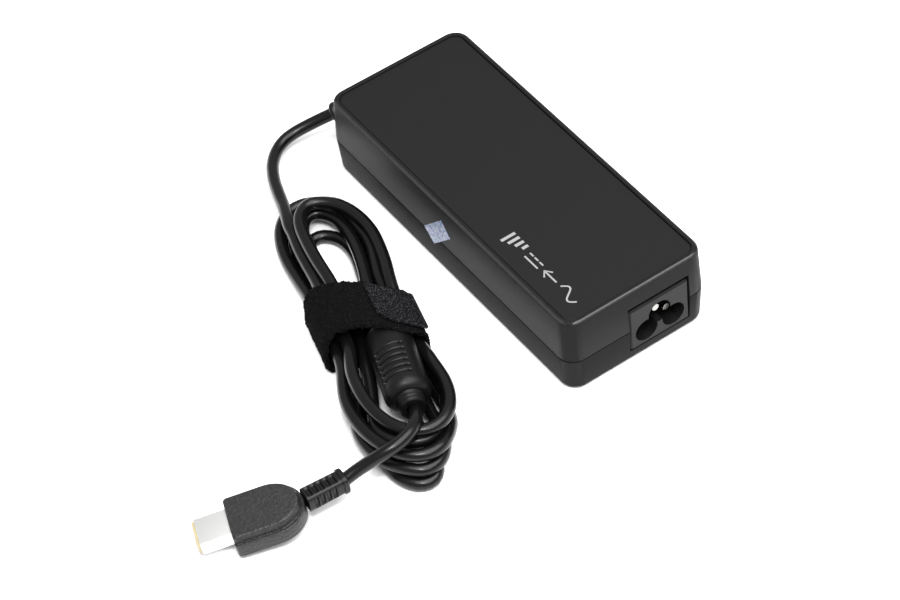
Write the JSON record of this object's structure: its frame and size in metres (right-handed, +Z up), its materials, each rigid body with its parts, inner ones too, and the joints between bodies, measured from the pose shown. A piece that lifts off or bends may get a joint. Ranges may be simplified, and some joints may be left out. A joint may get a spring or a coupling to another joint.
{
  "type": "laptop power adapter",
  "caption": "Flat rectangular power brick with a clover-shaped mains inlet, and a folded low-voltage lead in a hook-and-loop tie, with a moulded choke and a flat plug.",
  "frame": {"origin": "bottom centre of the brick, on the surface it lies on", "axes": "+X along the brick's length to the mains inlet end, +Z up, and the folded lead lies on the -Y side"},
  "size_m": [0.1494, 0.1704, 0.029],
  "materials": {
    "board_lead": "satin black",
    "bottom_case": "fine-textured black moulding",
    "bridge_rectifier": "black moulding",
    "bulk_capacitor": "dark sleeve",
    "choke_core": "dark ferrite",
    "choke_cover": "satin black moulding",
    "circuit_board": "green glass-fibre laminate",
    "controller_chip": "black moulding",
    "cord_gland": "satin black",
    "cord_hank": "smooth black sheath",
    "earth_pin": "nickel-plated brass",
    "fuse": "white tube",
    "heat_spreader": "bare sheet",
    "inlet_body": "smooth black",
    "inrush_thermistor": "dark green disc",
    "insulation_sheet": "translucent film",
    "lead_to_hank": "smooth black sheath",
    "lead_to_plug": "smooth black sheath",
    "line_choke_core": "dark ferrite",
    "line_choke_winding": "enamelled copper wire",
    "line_pin": "nickel-plated brass",
    "neutral_pin": "nickel-plated brass",
    "optocoupler": "white moulding",
    "output_capacitor_1": "dark green sleeve",
    "output_capacitor_2": "dark green sleeve",
    "output_choke": "enamelled copper on a ring core",
    "output_rectifier": "black moulding",
    "plug_boot": "satin black",
    "plug_centre_pin": "nickel-plated brass",
    "plug_housing": "fine-grained dark grey moulding",
    "plug_insert": "pale yellow moulding",
    "plug_shell": "nickel-plated steel",
    "primary_heat_sink": "bare plate",
    "rating_label": "silver-grey label, printed with plain bars",
    "seal_sticker": "silvery blue foil",
    "secondary_heat_sink": "bare plate",
    "switching_transistor": "black moulding",
    "thermal_pad": "soft grey-blue pad",
    "tie_band": "black brushed loop pile",
    "tie_tab": "black woven hook tape",
    "top_cover": "fine-textured black moulding",
    "top_label": "satin black film with white printed symbols",
    "transformer_core": "dark ferrite",
    "transformer_winding": "taped copper wire",
    "x_capacitor": "yellow box",
    "y_capacitor": "blue disc"
  },
  "bodies": {
    "adapter": {"board_lead": "board_lead", "bottom_case": "bottom_case", "bridge_rectifier": "bridge_rectifier", "bulk_capacitor": "bulk_capacitor", "choke_core": "choke_core", "choke_cover": "choke_cover", "circuit_board": "circuit_board", "controller_chip": "controller_chip", "cord_gland": "cord_gland", "cord_hank": "cord_hank", "earth_pin": "earth_pin", "fuse": "fuse", "heat_spreader": "heat_spreader", "inlet_body": "inlet_body", "inrush_thermistor": "inrush_thermistor", "insulation_sheet": "insulation_sheet", "lead_to_hank": "lead_to_hank", "lead_to_plug": "lead_to_plug", "line_choke_core": "line_choke_core", "line_choke_winding": "line_choke_winding", "line_pin": "line_pin", "neutral_pin": "neutral_pin", "optocoupler": "optocoupler", "output_capacitor_1": "output_capacitor_1", "output_capacitor_2": "output_capacitor_2", "output_choke": "output_choke", "output_rectifier": "output_rectifier", "plug_boot": "plug_boot", "plug_centre_pin": "plug_centre_pin", "plug_housing": "plug_housing", "plug_insert": "plug_insert", "plug_shell": "plug_shell", "primary_heat_sink": "primary_heat_sink", "rating_label": "rating_label", "seal_sticker": "seal_sticker", "secondary_heat_sink": "secondary_heat_sink", "switching_transistor": "switching_transistor", "thermal_pad": "thermal_pad", "tie_band": "tie_band", "top_cover": "top_cover", "top_label": "top_label", "transformer_core": "transformer_core", "transformer_winding": "transformer_winding", "x_capacitor": "x_capacitor", "y_capacitor": "y_capacitor"},
    "tab": {"tie_tab": "tie_tab"}
  },
  "joints": [
    {"name": "tab_peel", "type": "hinge", "parent": "adapter", "child": "tab", "pos_m": [0.0116, -0.04549, 0.0109], "axis": [-0.9659, 0.2588, 0], "range_deg": [0, 110]}
  ]
}
